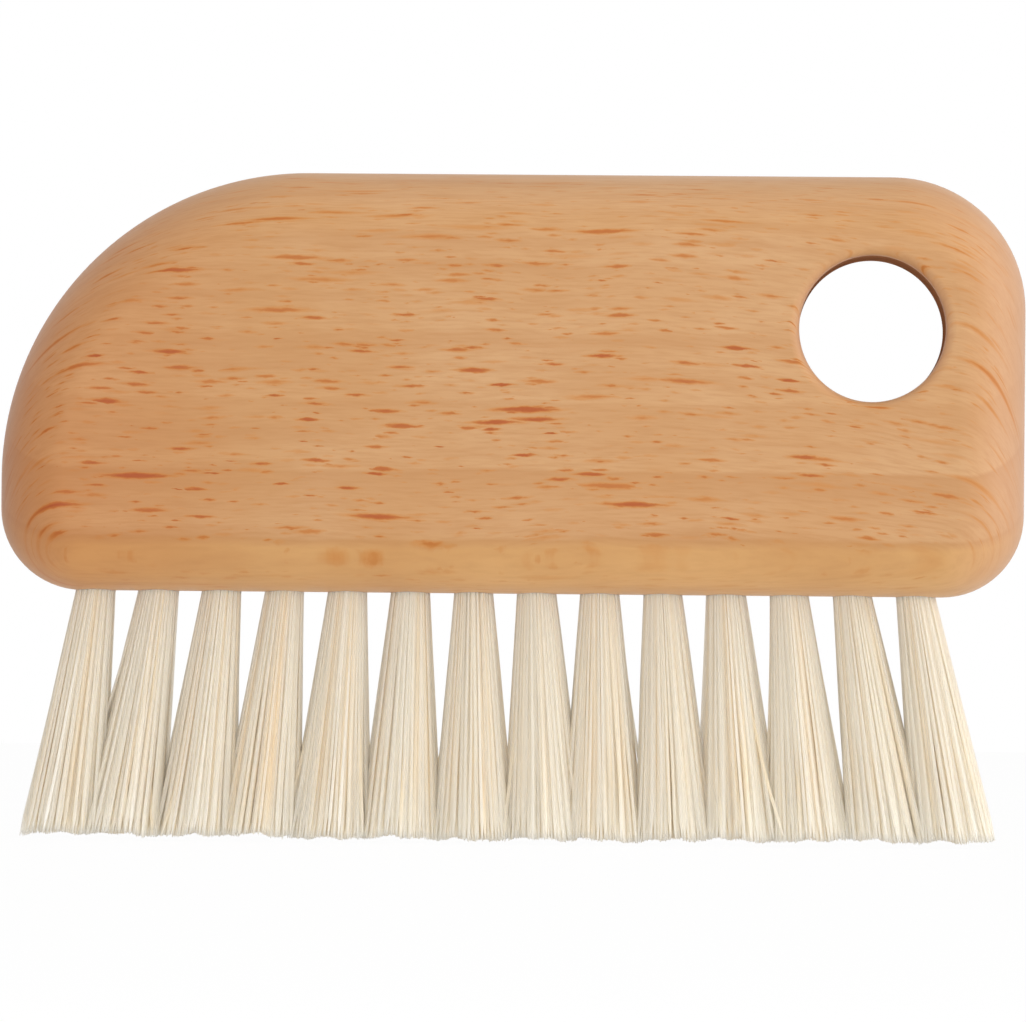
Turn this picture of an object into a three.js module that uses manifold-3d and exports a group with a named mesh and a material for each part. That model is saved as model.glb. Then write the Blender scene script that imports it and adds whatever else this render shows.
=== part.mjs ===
// Keyboard cleaning brush: a one-piece beech handle with a hanging hole and one fanned row of bristle tufts.
// Each tuft is a bundle of bristles folded over a flat-wire anchor and driven into its own blind bore.
// Millimetres, +Z up. +X runs along the handle towards the hanging hole, and the broad faces look along -Y
// and +Y. The origin lies on the plane of the bristle tips, under the middle of the handle.
import * as THREE from "three";
import { mergeGeometries, mergeVertices, toCreasedNormals } from "three/addons/utils/BufferGeometryUtils.js";
import Module from "manifold-3d";

// Handle
const HANDLE_LENGTH = 100;
const HANDLE_HEIGHT = 41;
const HANDLE_THICKNESS = 16;
const NOSE_RADIUS = 30; // the swept upper corner at the end away from the hanging hole
const SHOULDER_RADIUS = 13; // the upper corner beside the hanging hole
const HEEL_RADIUS = 8; // both lower corners
const EDGE_ROUND_WIDTH = 6.5; // elliptical rounding of the rim, measured inwards from the outline
const EDGE_ROUND_DEPTH = 7.5; // the same rounding, measured inwards from each broad face
const RIM_FLAT = 1; // least width left between two roundings
const HOLE_DIAMETER = 14.2;
const HOLE_FROM_END = 15;
const HOLE_FROM_TOP = 15;
const HOLE_RIM_ROUND = 1;

// Row of tufts
const TUFT_COUNT = 14;
const FIRST_TUFT_FROM_END = 9.3; // from the nose end to the middle of the first bore
const LAST_TUFT_FROM_END = 10.5; // from the hole end to the middle of the last bore
const FAN_LEAN = 9; // degrees by which the two outermost tufts lean outwards
const BORE_DIAMETER = 4;
const BORE_DEPTH = 9;
const DRILL_POINT_ANGLE = 118; // degrees, included angle of the blind end

// Bristles
const BRISTLE_LENGTH = 24.5; // free length below the handle
const TUFT_TIP_DEPTH = 8; // spread of a tuft at its tips, from front to back
const TUFT_GAP = 0.35; // left between neighbouring tufts at their tips
const STRANDS_PER_TUFT = 27;
const STRAND_SIDES = 3;
const STRAND_ROOT_RADIUS = 0.15;
const STRAND_INSET = 0.15; // left between the outer strands and the side of the packed bundle
const STRAND_TIP_RADIUS = 0.34; // a strand is a lock of bristles, so it widens as they part
const STRAND_BEND_AT = 0.45; // share of the free length where a strand has its middle ring
const FLARE_POWER = 1.2; // above 1, the strands leave the bore straight and part more towards the tips
const TIP_SQUARENESS = 0.9; // 0 leaves the parted tufts round, 1 fills the row with square ones
const TIP_RAGGEDNESS = 1.4; // spread of the bristles' lengths before they are trimmed
const TIP_TRIM = 0.5; // depth of the flat trim across the tips

// Anchors
const ANCHOR_THICKNESS = 0.4;
const ANCHOR_HEIGHT = 2;
const ANCHOR_BITE = 0.4; // how far each end reaches into the wood beyond the bore
const ANCHOR_SHEAR = 0.35; // cut-back of the two leading corners
const FOLD_THICKNESS = 1.3; // bristles bent over the anchor's leading edge
const FOLD_CROWN = 1.2; // height of the domed end of the fold

// Fits and facets
const CLEARANCE = 0.3;
const ARC_STEPS = 7; // half the chords of each quarter round in the handle's outline
const EDGE_STEPS = 6;
const HOLE_STEPS = 40;
const RIM_STEPS = 3;
const BORE_STEPS = 16;
const BUNDLE_STEPS = 12;
const CROWN_STEPS = 2;
const WELD = 1e-4;
const CREASE = THREE.MathUtils.degToRad(35);

const GOLDEN_ANGLE = Math.PI * (3 - Math.sqrt(5));
const GOLDEN_SHARE = (Math.sqrt(5) - 1) / 2;

const noseEnd = -HANDLE_LENGTH / 2;
const holeEnd = HANDLE_LENGTH / 2;
const handleBottom = BRISTLE_LENGTH;
const handleTop = handleBottom + HANDLE_HEIGHT;
const edgeWidth = Math.min(EDGE_ROUND_WIDTH, HEEL_RADIUS - RIM_FLAT / 2);
const edgeDepth = Math.min(EDGE_ROUND_DEPTH, (HANDLE_THICKNESS - RIM_FLAT) / 2);
const boreRadius = BORE_DIAMETER / 2;
const bundleRadius = boreRadius - CLEARANCE;
const drillPoint = boreRadius / Math.tan(THREE.MathUtils.degToRad(DRILL_POINT_ANGLE / 2));
const anchorSlot = ANCHOR_THICKNESS + 2 * CLEARANCE;
const anchorWidth = BORE_DIAMETER + 2 * ANCHOR_BITE;
const anchorMiddle = BORE_DEPTH - FOLD_THICKNESS - CLEARANCE - ANCHOR_HEIGHT / 2;
const tuftPitch = (HANDLE_LENGTH - FIRST_TUFT_FROM_END - LAST_TUFT_FROM_END) / (TUFT_COUNT - 1);

const wasm = await Module();
wasm.setup();

const beech = new THREE.MeshStandardMaterial({ color: 0xd09c6b, roughness: 0.55, metalness: 0 });
const bristle = new THREE.MeshStandardMaterial({ color: 0xe0d2bb, roughness: 0.6, metalness: 0 });
const flatWire = new THREE.MeshStandardMaterial({ color: 0xb4b7ba, roughness: 0.35, metalness: 1 });

// A closed geometry as a solid that can be joined and cut.
function solidOf(geometry) {
  const bare = geometry.clone();
  bare.deleteAttribute("normal");
  bare.deleteAttribute("uv");
  const welded = mergeVertices(bare, WELD);
  const corners = welded.index.array;
  const kept = [];
  for (let at = 0; at < corners.length; at += 3) {
    const [a, b, c] = corners.slice(at, at + 3);
    if (a !== b && b !== c && c !== a) kept.push(a, b, c);
  }
  const vertProperties = Float32Array.from(welded.attributes.position.array);
  const triVerts = Uint32Array.from(kept);
  return new wasm.Manifold(new wasm.Mesh({ numProp: 3, vertProperties, triVerts }));
}

// A solid as a geometry with creased normals.
function geometryOf(solid) {
  const { vertProperties, triVerts } = solid.getMesh();
  const geometry = new THREE.BufferGeometry();
  geometry.setAttribute("position", new THREE.BufferAttribute(vertProperties, 3));
  geometry.setIndex(new THREE.BufferAttribute(triVerts, 1));
  return toCreasedNormals(geometry, CREASE);
}

// A profile of [radius, height] pairs turned about the Z axis.
function turned(profile, steps) {
  const points = profile.map(([radius, height]) => new THREE.Vector2(radius, height));
  return new THREE.LatheGeometry(points, steps).rotateX(Math.PI / 2);
}

// Points on a quarter of an ellipse, from angle start to start + 90 degrees, both ends included.
function quarter(middle, radii, start, steps) {
  const points = [];
  for (let step = 0; step <= steps; step += 1) {
    const angle = start + (Math.PI / 2) * (step / steps);
    points.push([middle[0] + radii[0] * Math.cos(angle), middle[1] + radii[1] * Math.sin(angle)]);
  }
  return points;
}

// Which way tuft number leans, in radians: outwards from the middle of the row.
function leanOf(number) {
  const acrossRow = (2 * number) / (TUFT_COUNT - 1) - 1;
  return THREE.MathUtils.degToRad(FAN_LEAN) * acrossRow;
}

// Where the bore of tuft number opens in the handle's lower edge.
function mouthOf(number) {
  return new THREE.Vector3(noseEnd + FIRST_TUFT_FROM_END + tuftPitch * number, 0, handleBottom);
}

// The handle's outline, drawn with the shape's y axis upwards.
function handleOutline() {
  const nose = Math.min(NOSE_RADIUS, HANDLE_HEIGHT - HEEL_RADIUS);
  const outline = new THREE.Shape();
  outline.moveTo(noseEnd + HEEL_RADIUS, handleBottom);
  outline.lineTo(holeEnd - HEEL_RADIUS, handleBottom);
  outline.absarc(holeEnd - HEEL_RADIUS, handleBottom + HEEL_RADIUS, HEEL_RADIUS, -Math.PI / 2, 0);
  outline.lineTo(holeEnd, handleTop - SHOULDER_RADIUS);
  outline.absarc(holeEnd - SHOULDER_RADIUS, handleTop - SHOULDER_RADIUS, SHOULDER_RADIUS, 0, Math.PI / 2);
  outline.lineTo(noseEnd + nose, handleTop);
  outline.absarc(noseEnd + nose, handleTop - nose, nose, Math.PI / 2, Math.PI);
  outline.lineTo(noseEnd, handleBottom + HEEL_RADIUS);
  outline.absarc(noseEnd + HEEL_RADIUS, handleBottom + HEEL_RADIUS, HEEL_RADIUS, Math.PI, 1.5 * Math.PI);
  return outline;
}

// The uncut block: the outline with its rim rounded into both faces.
function handleBlock() {
  const depth = HANDLE_THICKNESS - 2 * edgeDepth;
  const block = new THREE.ExtrudeGeometry(handleOutline(), {
    depth,
    curveSegments: ARC_STEPS,
    bevelEnabled: true,
    bevelThickness: edgeDepth,
    bevelSize: edgeWidth,
    bevelOffset: -edgeWidth,
    bevelSegments: EDGE_STEPS,
  });
  return block.translate(0, 0, -depth / 2).rotateX(Math.PI / 2);
}

// The tool that leaves the hanging hole, with a rounded rim at both faces.
function hangingHoleCutter() {
  const wall = HOLE_DIAMETER / 2;
  const mouth = wall + HOLE_RIM_ROUND;
  const face = HANDLE_THICKNESS / 2;
  const past = face + HOLE_RIM_ROUND;
  const round = [HOLE_RIM_ROUND, HOLE_RIM_ROUND];
  const lowerRim = quarter([mouth, HOLE_RIM_ROUND - face], round, Math.PI, RIM_STEPS).reverse();
  const upperRim = quarter([mouth, face - HOLE_RIM_ROUND], round, Math.PI / 2, RIM_STEPS).reverse();
  const profile = [[0, -past], [mouth, -past], ...lowerRim, ...upperRim, [mouth, past], [0, past]];
  const cutter = turned(profile, HOLE_STEPS).rotateX(Math.PI / 2);
  return cutter.translate(holeEnd - HOLE_FROM_END, 0, handleTop - HOLE_FROM_TOP);
}

// The tool that leaves one blind bore and the two bites of its anchor, standing on the bore's mouth.
function boreCutter() {
  const profile = [
    [0, -BORE_DIAMETER],
    [boreRadius, -BORE_DIAMETER],
    [boreRadius, BORE_DEPTH],
    [0, BORE_DEPTH + drillPoint],
  ];
  const bite = new THREE.BoxGeometry(anchorSlot, anchorWidth + 2 * CLEARANCE, ANCHOR_HEIGHT + 2 * CLEARANCE);
  return solidOf(turned(profile, BORE_STEPS)).add(solidOf(bite.translate(0, 0, anchorMiddle)));
}

function makeHandle() {
  let solid = solidOf(handleBlock()).subtract(solidOf(hangingHoleCutter()));
  const bore = geometryOf(boreCutter());
  for (let number = 0; number < TUFT_COUNT; number += 1) {
    const mouth = mouthOf(number);
    const placed = bore.clone().rotateY(-leanOf(number)).translate(mouth.x, mouth.y, mouth.z);
    solid = solid.subtract(solidOf(placed));
  }
  const handle = new THREE.Mesh(geometryOf(solid), beech);
  handle.name = "handle";
  return handle;
}

// The packed, folded part of a tuft inside its bore, with the window that its anchor lies in.
function foldedBundle() {
  const shoulder = BORE_DEPTH - FOLD_CROWN;
  const crown = quarter([0, shoulder], [bundleRadius, FOLD_CROWN], 0, CROWN_STEPS).slice(0, -1);
  const profile = [[0, 0], [bundleRadius, 0], ...crown, [0, BORE_DEPTH]];
  const window = new THREE.BoxGeometry(anchorSlot, BORE_DIAMETER, ANCHOR_HEIGHT + 2 * CLEARANCE);
  return solidOf(turned(profile, BUNDLE_STEPS)).subtract(solidOf(window.translate(0, 0, anchorMiddle)));
}

// Half the width of a tuft at its tips along the row, so that neighbours stay clear of each other.
function tipHalfWidth() {
  let leastPitch = Infinity;
  for (let number = 1; number < TUFT_COUNT; number += 1) {
    const spread = Math.tan(leanOf(number)) - Math.tan(leanOf(number - 1));
    leastPitch = Math.min(leastPitch, tuftPitch + BRISTLE_LENGTH * spread);
  }
  return (leastPitch - TUFT_GAP) / 2 - STRAND_TIP_RADIUS;
}

// One closed strand through level rings, each given by its middle, radius and turn about Z.
function strandThrough(rings) {
  const positions = [];
  const corners = [];
  for (const { middle, radius, turn } of rings) {
    for (let side = 0; side < STRAND_SIDES; side += 1) {
      const angle = turn + (2 * Math.PI * side) / STRAND_SIDES;
      positions.push(middle.x + radius * Math.cos(angle), middle.y + radius * Math.sin(angle), middle.z);
    }
  }
  for (let ring = 0; ring + 1 < rings.length; ring += 1) {
    for (let side = 0; side < STRAND_SIDES; side += 1) {
      const next = (side + 1) % STRAND_SIDES;
      const upper = ring * STRAND_SIDES;
      const lower = upper + STRAND_SIDES;
      corners.push(upper + side, lower + side, lower + next);
      corners.push(upper + side, lower + next, upper + next);
    }
  }
  const last = (rings.length - 1) * STRAND_SIDES;
  for (let side = 1; side + 1 < STRAND_SIDES; side += 1) {
    corners.push(0, side, side + 1);
    corners.push(last, last + side + 1, last + side);
  }
  const strand = new THREE.BufferGeometry();
  strand.setAttribute("position", new THREE.Float32BufferAttribute(positions, 3));
  strand.setIndex(corners);
  return strand;
}

// The strands of one tuft, spread evenly over its section, in the frame of its leaning bore.
function strandsOf(number) {
  const slope = Math.tan(leanOf(number));
  const bundleFlat = bundleRadius * Math.cos(Math.PI / BUNDLE_STEPS);
  const rootSpread = bundleFlat - STRAND_INSET - STRAND_ROOT_RADIUS;
  const sunk = bundleRadius * Math.abs(slope) + CLEARANCE;
  const tipSpread = { x: tipHalfWidth(), y: TUFT_TIP_DEPTH / 2 };
  const strands = [];
  for (let strand = 0; strand < STRANDS_PER_TUFT; strand += 1) {
    const fromAxis = Math.sqrt((strand + 0.5) / STRANDS_PER_TUFT);
    const turn = strand * GOLDEN_ANGLE;
    const square = 1 / Math.max(Math.abs(Math.cos(turn)), Math.abs(Math.sin(turn)));
    const ragged = TIP_RAGGEDNESS * (((strand + 1) * GOLDEN_SHARE + (number + 1) / TUFT_COUNT) % 1);
    const tip = BRISTLE_LENGTH - Math.max(0, ragged - TIP_TRIM);
    const ringAt = (below) => {
      const share = Math.max(0, below / BRISTLE_LENGTH);
      const flare = share ** FLARE_POWER;
      const spreadX = THREE.MathUtils.lerp(rootSpread, tipSpread.x, flare);
      const spreadY = THREE.MathUtils.lerp(rootSpread, tipSpread.y, flare);
      const reach = fromAxis * THREE.MathUtils.lerp(1, square, TIP_SQUARENESS * flare);
      const x = slope * below + spreadX * reach * Math.cos(turn);
      const y = spreadY * reach * Math.sin(turn);
      const radius = THREE.MathUtils.lerp(STRAND_ROOT_RADIUS, STRAND_TIP_RADIUS, share);
      return { middle: new THREE.Vector3(x, y, -below), radius, turn };
    };
    strands.push(strandThrough([-sunk, STRAND_BEND_AT * BRISTLE_LENGTH, tip].map(ringAt)));
  }
  return mergeGeometries(strands).rotateY(leanOf(number));
}

// The flat-wire anchor, its sheared leading corners upwards and its width across the handle.
function anchorPlate() {
  const half = anchorWidth / 2;
  const top = ANCHOR_HEIGHT / 2;
  const outline = new THREE.Shape();
  outline.moveTo(-half, -top);
  outline.lineTo(half, -top);
  outline.lineTo(half, top - ANCHOR_SHEAR);
  outline.lineTo(half - ANCHOR_SHEAR, top);
  outline.lineTo(ANCHOR_SHEAR - half, top);
  outline.lineTo(-half, top - ANCHOR_SHEAR);
  const plate = new THREE.ExtrudeGeometry(outline, { depth: ANCHOR_THICKNESS, bevelEnabled: false });
  return plate.translate(0, 0, -ANCHOR_THICKNESS / 2).rotateX(Math.PI / 2).rotateZ(Math.PI / 2);
}

// One tuft with its anchor, in a group that stands on the bore's mouth and leans with the bore.
function makeSetTuft(number) {
  const label = String(number + 1).padStart(2, "0");

  const tuft = new THREE.Mesh(geometryOf(foldedBundle().add(solidOf(strandsOf(number)))), bristle);
  tuft.name = `tuft_${label}`;

  const anchor = new THREE.Mesh(anchorPlate(), flatWire);
  anchor.name = `anchor_${label}`;
  anchor.position.z = anchorMiddle;

  const setTuft = new THREE.Group();
  setTuft.position.copy(mouthOf(number));
  setTuft.rotation.y = -leanOf(number);
  setTuft.add(tuft, anchor);
  return setTuft;
}

const brush = new THREE.Group();
brush.name = "keyboard_brush";
brush.add(makeHandle());
for (let number = 0; number < TUFT_COUNT; number += 1) {
  brush.add(makeSetTuft(number));
}

export default brush;
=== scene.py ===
"""Looks of a keyboard cleaning brush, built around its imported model.

A one-piece beech handle carries one fanned row of bristle tufts. Each tuft is a bundle of bristles folded over
a flat-wire anchor and driven into its own blind bore. Lengths are in millimetres and turn to metres where meshes
and lamps are made. +X runs along the handle to the hanging hole, and the broad faces look along -Y and +Y.
"""

import logging
import math
from dataclasses import dataclass
from enum import Enum

import bmesh
import bpy
import numpy as np
from mathutils import Matrix, Vector


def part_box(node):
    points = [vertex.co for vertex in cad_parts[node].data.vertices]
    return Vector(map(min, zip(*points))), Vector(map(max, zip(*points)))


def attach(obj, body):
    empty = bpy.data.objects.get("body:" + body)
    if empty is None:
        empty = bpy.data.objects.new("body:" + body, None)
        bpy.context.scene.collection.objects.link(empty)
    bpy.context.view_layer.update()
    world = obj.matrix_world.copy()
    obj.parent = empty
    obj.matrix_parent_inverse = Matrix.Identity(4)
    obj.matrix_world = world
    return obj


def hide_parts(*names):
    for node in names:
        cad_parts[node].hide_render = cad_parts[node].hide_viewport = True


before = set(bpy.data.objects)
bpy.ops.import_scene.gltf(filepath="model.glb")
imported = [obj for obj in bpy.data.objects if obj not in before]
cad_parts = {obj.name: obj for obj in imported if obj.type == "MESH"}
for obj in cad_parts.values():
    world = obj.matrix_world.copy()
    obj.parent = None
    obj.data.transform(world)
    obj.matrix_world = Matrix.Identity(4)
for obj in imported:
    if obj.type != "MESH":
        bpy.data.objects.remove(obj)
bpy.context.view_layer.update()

Tree = bpy.types.NodeTree
Socket = bpy.types.NodeSocket
Pair = tuple[float, float]
Triple = tuple[float, float, float]

MM = 0.001
IMAGE_WIDTH = 1026
SEED = 1409
GOLDEN_TURN = 3 - math.sqrt(5)  # in half circles
NOISE_MIDDLE = (0.5, 0.5, 0.5)
LOG = logging.getLogger("brush")


class Slot(Enum):
    """Material slot names that seat_piece is handed but does not use."""

    BEECH = "beech"
    BRISTLE = "bristle"


class Body(Enum):
    """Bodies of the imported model, which has no joints and so only one."""

    ROOT = "root"


class Cut(Enum):
    """How a face of the handle was made; the value is its material number."""

    SANDED = 0
    DRILLED = 1


class Side(Enum):
    """The handle's two broad faces, by the sign of their y."""

    FRONT = -1
    BACK = 1


def linear(colour: str) -> tuple[float, float, float, float]:
    """Turn an sRGB hex colour to linear light.

    Args:
        colour: Colour such as "#d09c6b".

    Returns:
        Linear red, green and blue, and full opacity.
    """
    channels = []
    for at in (1, 3, 5):
        share = int(colour[at : at + 2], 16) / 255
        channels.append(share / 12.92 if share <= 0.04045 else ((share + 0.055) / 1.055) ** 2.4)
    return (*channels, 1.0)


def add_node(tree: Tree, kind: str, inputs: dict | None = None, **settings: object) -> bpy.types.NodeOutputs:
    """Add a shader node with its settings, input values and links.

    Args:
        tree: Node tree to add to.
        kind: Node type without its "ShaderNode" prefix.
        inputs: Values, or output sockets to link from, by the input's name or number.
        **settings: Properties to set on the node.

    Returns:
        The new node's outputs.
    """
    node = tree.nodes.new(f"ShaderNode{kind}")
    for name, value in settings.items():
        setattr(node, name, value)
    for key, value in (inputs or {}).items():
        if isinstance(value, Socket):
            tree.links.new(value, node.inputs[key])
        else:
            node.inputs[key].default_value = value
    return node.outputs


def start_material(name: str) -> tuple[bpy.types.Material, Tree, bpy.types.Node]:
    """Start a node material.

    Args:
        name: Name of the real material.

    Returns:
        The material, its node tree and its main shader.
    """
    material = bpy.data.materials.new(name)
    material.use_nodes = True
    return material, material.node_tree, material.node_tree.nodes["Principled BSDF"]


def add_piece(name: str, mesh: bpy.types.Mesh, *materials: bpy.types.Material) -> bpy.types.Object:
    """Put a mesh into the scene with its materials.

    Args:
        name: Name of the piece.
        mesh: Mesh in metres, in the model's frame.
        *materials: Finishes of the piece, in the order of its faces' material numbers.

    Returns:
        The new object.
    """
    piece = bpy.data.objects.new(name, mesh)
    for material in materials:
        mesh.materials.append(material)
    bpy.context.scene.collection.objects.link(piece)
    return piece


def seat_piece(piece: bpy.types.Object, slot: Slot, *nodes: str) -> None:
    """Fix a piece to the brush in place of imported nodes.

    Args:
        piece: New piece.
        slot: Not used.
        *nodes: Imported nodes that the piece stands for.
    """
    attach(piece, Body.ROOT.value)
    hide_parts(*nodes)
    LOG.info("%s: %d faces", piece.name, len(piece.data.polygons))


def node_box(node: str) -> tuple[Vector, Vector]:
    """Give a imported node's lowest and highest corners in millimetres."""
    low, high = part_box(node)
    return Vector(low) / MM, Vector(high) / MM


@dataclass(frozen=True)
class Streaks:
    """Streaks of one size in the wood, which differ in tone from one to the next."""

    spacing: Triple  # along the grain, along the rays and across both
    detail: float
    level: Pair  # noise at which a streak starts and is full
    share: float  # of the streak's colour where it is full

    def lay(self, tree: Tree, place: Socket) -> tuple[Socket, Socket]:
        """Scatter the streaks through the wood.

        Args:
            tree: Node tree to add to.
            place: Place in the wood in millimetres.

        Returns:
            The streaks' noise from 0 to 1, and the share of their colour.
        """
        cells = add_node(tree, "VectorMath", {0: place, 1: self.spacing}, operation="DIVIDE")[0]
        noise = add_node(tree, "TexNoise", {"Vector": cells, "Scale": 1.0, "Detail": self.detail})[0]
        least, most = self.level
        return noise, add_node(tree, "MapRange", {0: noise, 1: least, 2: most, 4: self.share})[0]


@dataclass(frozen=True)
class Rays:
    """Rays of one size in the wood, thin ribbons that show as flecks where they are cut."""

    spacing: Triple  # along the grain, along the rays and across both
    unseen: float  # share of the rays that are too thin to show
    bold: float  # strength of the strongest
    shape: float = 1.4  # of their section: 1 is a diamond, and 2 an ellipse
    width: Pair = (0.05, 0.62)  # of the thinnest and the widest, in spacings
    core: float = 0.2  # share of a ray's width that has its full strength
    weakest: float = 0.3

    def flecks(self, tree: Tree, grain: Socket) -> Socket:
        """Scatter the rays through the wood.

        Args:
            tree: Node tree to add to.
            grain: Place along the grain, along the rays and across both.

        Returns:
            The ray's strength at that place, 0 outside all rays.
        """
        cells = add_node(tree, "VectorMath", {0: grain, 1: self.spacing}, operation="DIVIDE")[0]
        scatter = {"Vector": cells, "Scale": 1.0, "Exponent": self.shape}
        rays = add_node(tree, "TexVoronoi", scatter, distance="MINKOWSKI")
        draw = add_node(tree, "TexWhiteNoise", {"Vector": rays["Color"]})["Color"]
        draw = add_node(tree, "SeparateColor", {0: draw})
        least, most = self.width
        width = add_node(tree, "MapRange", {0: draw[0], 1: self.unseen, 3: least, 4: most})[0]
        core = add_node(tree, "Math", {0: width, 1: self.core}, operation="MULTIPLY")[0]
        edge = {0: rays["Distance"], 1: width, 2: core}
        inside = add_node(tree, "MapRange", edge, interpolation_type="SMOOTHSTEP")[0]
        strength = add_node(tree, "MapRange", {0: draw[1], 3: self.weakest * self.bold, 4: self.bold})[0]
        return add_node(tree, "Math", {0: inside, 1: strength}, operation="MULTIPLY")[0]


@dataclass(frozen=True)
class SandedBeech:
    """European beech, routed round its edges, sanded fine and oiled.

    Sawn between the rays and the growth rings, it shows short brown ray flecks on the broad faces. The rays are
    thin ribbons that run on through the wood, so the flecks bend downwards and grow fainter where the ends are
    rounded off. The lower edge is cut from paler sapwood, in which hardly a ray shows; part of its paleness is
    painted light, for the light thrown up from the floor. The nose is painted darker and redder than the rest,
    as painted shade where the light from the right falls off.
    """

    name: str = "beech_sanded_oiled"
    early_wood: str = "#d4a472"
    late_wood: str = "#c18850"
    warm_patch: str = "#c99156"
    # paler sapwood of the lower edge, partly painted light thrown up from the floor
    sapwood_and_uplight: str = "#e0ae6f"
    end_wood: str = "#d09e7c"
    # painted shade: multiplies the nose darker and redder, away from the light on the right
    nose_shade_tint: str = "#f7e2cb"
    fleck_halo: str = "#cb8231"
    fleck_core: str = "#b05204"
    ray_lean: float = 58.0  # degrees between the rays and a line square to the broad faces
    ring_spacing: float = 5.7
    ring_start: float = -29.6  # along the rays, where the sapwood of the lower edge begins
    ring_tones: tuple[Pair, ...] = ((0.06, 1.0), (0.5, 0.4))  # place in a ring and share of late wood
    ring_fade: Pair = (-14.0, -6.0)  # from the sapwood, between which the rings grow stronger
    ring_show: Pair = (0.21, 0.7)
    sap_blend: float = 1.2  # along the rays, over which the sapwood sets in
    # share of the sapwood's colour, which is partly painted light from below
    sap_and_uplight_show: float = 0.75
    sap_streaks: float = 0.3  # strength of the streaks in the sapwood
    patches: Streaks = Streaks((16.0, 16.0, 16.0), 2.0, (0.4, 0.7), 0.6)
    fibres: Streaks = Streaks((2.8, 0.9, 0.14), 3.0, (0.42, 0.75), 0.5)
    bands: Streaks = Streaks((26.0, 6.0, 1.0), 2.0, (0.45, 0.72), 0.5)
    end_show: float = 0.6
    nose: Pair = (-24.0, -48.0)  # x at which the nose's painted shade starts and is full
    rays: tuple[Rays, ...] = (
        Rays((2.2, 15.0, 0.23), 0.0, 0.7),
        Rays((4.6, 24.0, 0.36), 0.05, 1.0),
        Rays((10.0, 34.0, 0.5), 0.45, 1.0),
    )
    ragged_size: Triple = (0.9, 6.0, 0.16)  # of the tears in the rays' outlines
    ragged: Triple = (1.5, 0.0, 0.14)
    sap_flecks: Triple = (0.0, 1.0, 0.2)  # from and to which sapwood, and the strength there
    end_flecks: Triple = (0.1, 0.8, 0.6)  # the same by how far a face looks along the handle
    hole_flecks: Triple = (0.0, 36.0, 0.8)  # the same by x, towards the hanging hole
    top_flecks: Triple = (47.0, 64.0, 0.62)  # the same by z, towards the upper edge
    halo: Pair = (0.5, 0.9)  # ray strength at which a halo is full, and its share there
    core: Pair = (0.3, 0.85)  # ray strengths at which a dark core starts and is full
    wander_length: float = 22.0  # over which the grain wanders
    wander: Triple = (0.0, 2.0, 1.0)
    dip_from: float = 5.0  # x beyond which the grain dips towards the hanging hole
    dip_rate: float = 0.0011  # dip across the rays for each square millimetre of the way
    roughness: Pair = (0.52, 0.64)  # from fibre to fibre
    fuzz: float = 0.2  # sheen of the fibre ends that sanding leaves standing
    ior: float = 1.47
    bump: float = 0.012  # height of the raised fibres

    def grain(self, tree: Tree, place: Socket) -> Socket:
        """Lay the grain through the handle.

        Args:
            tree: Node tree to add to.
            place: Place in the handle in millimetres.

        Returns:
            The place along the grain, along the rays and across both.
        """
        lean = {"Vector": place, "Angle": math.radians(self.ray_lean)}
        turned = add_node(tree, "VectorRotate", lean, rotation_type="X_AXIS")[0]
        drift = add_node(tree, "TexNoise", {"Vector": place, "Scale": 1 / self.wander_length})["Color"]
        drift = add_node(tree, "VectorMath", {0: drift, 1: NOISE_MIDDLE}, operation="SUBTRACT")[0]
        path = {0: drift, 1: self.wander, 2: turned}
        grain = add_node(tree, "VectorMath", path, operation="MULTIPLY_ADD")[0]

        along = add_node(tree, "SeparateXYZ", {0: place})[0]
        past = add_node(tree, "Math", {0: along, 1: self.dip_from}, operation="SUBTRACT")[0]
        past = add_node(tree, "Math", {0: past, 1: 0.0}, operation="MAXIMUM")[0]
        dip = add_node(tree, "Math", {0: past, 1: past}, operation="MULTIPLY")[0]
        dip = add_node(tree, "Math", {0: dip, 1: self.dip_rate}, operation="MULTIPLY")[0]
        dip = add_node(tree, "CombineXYZ", {2: dip})[0]
        return add_node(tree, "VectorMath", {0: grain, 1: dip}, operation="ADD")[0]

    def rings(self, tree: Tree, grain: Socket) -> tuple[Socket, Socket]:
        """Lay the growth rings, with the sapwood outside them.

        Args:
            tree: Node tree to add to.
            grain: Place along the grain, along the rays and across both.

        Returns:
            The share of late wood, and the share of sapwood, which is partly painted light from below.
        """
        rays = add_node(tree, "SeparateXYZ", {0: grain})[1]
        past = add_node(tree, "Math", {0: rays, 1: self.ring_start}, operation="SUBTRACT")[0]
        ring = add_node(tree, "Math", {0: past, 1: self.ring_spacing}, operation="DIVIDE")[0]
        ring = add_node(tree, "Math", {0: ring}, operation="FRACT")[0]
        late = add_node(tree, "ValToRGB", {0: ring})[0]
        ramp = late.node.color_ramp.elements
        ramp[0].color = ramp[1].color = (0.0, 0.0, 0.0, 1.0)
        for at, tone in self.ring_tones:
            ramp.new(at).color = (tone, tone, tone, 1.0)
        top, edge = self.ring_fade
        weak, strong = self.ring_show
        show = add_node(tree, "MapRange", {0: past, 1: top, 2: edge, 3: weak, 4: strong})[0]
        late = add_node(tree, "Math", {0: late, 1: show}, operation="MULTIPLY")[0]
        return late, add_node(tree, "MapRange", {0: past, 2: self.sap_blend, 4: self.sap_and_uplight_show})[0]

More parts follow.
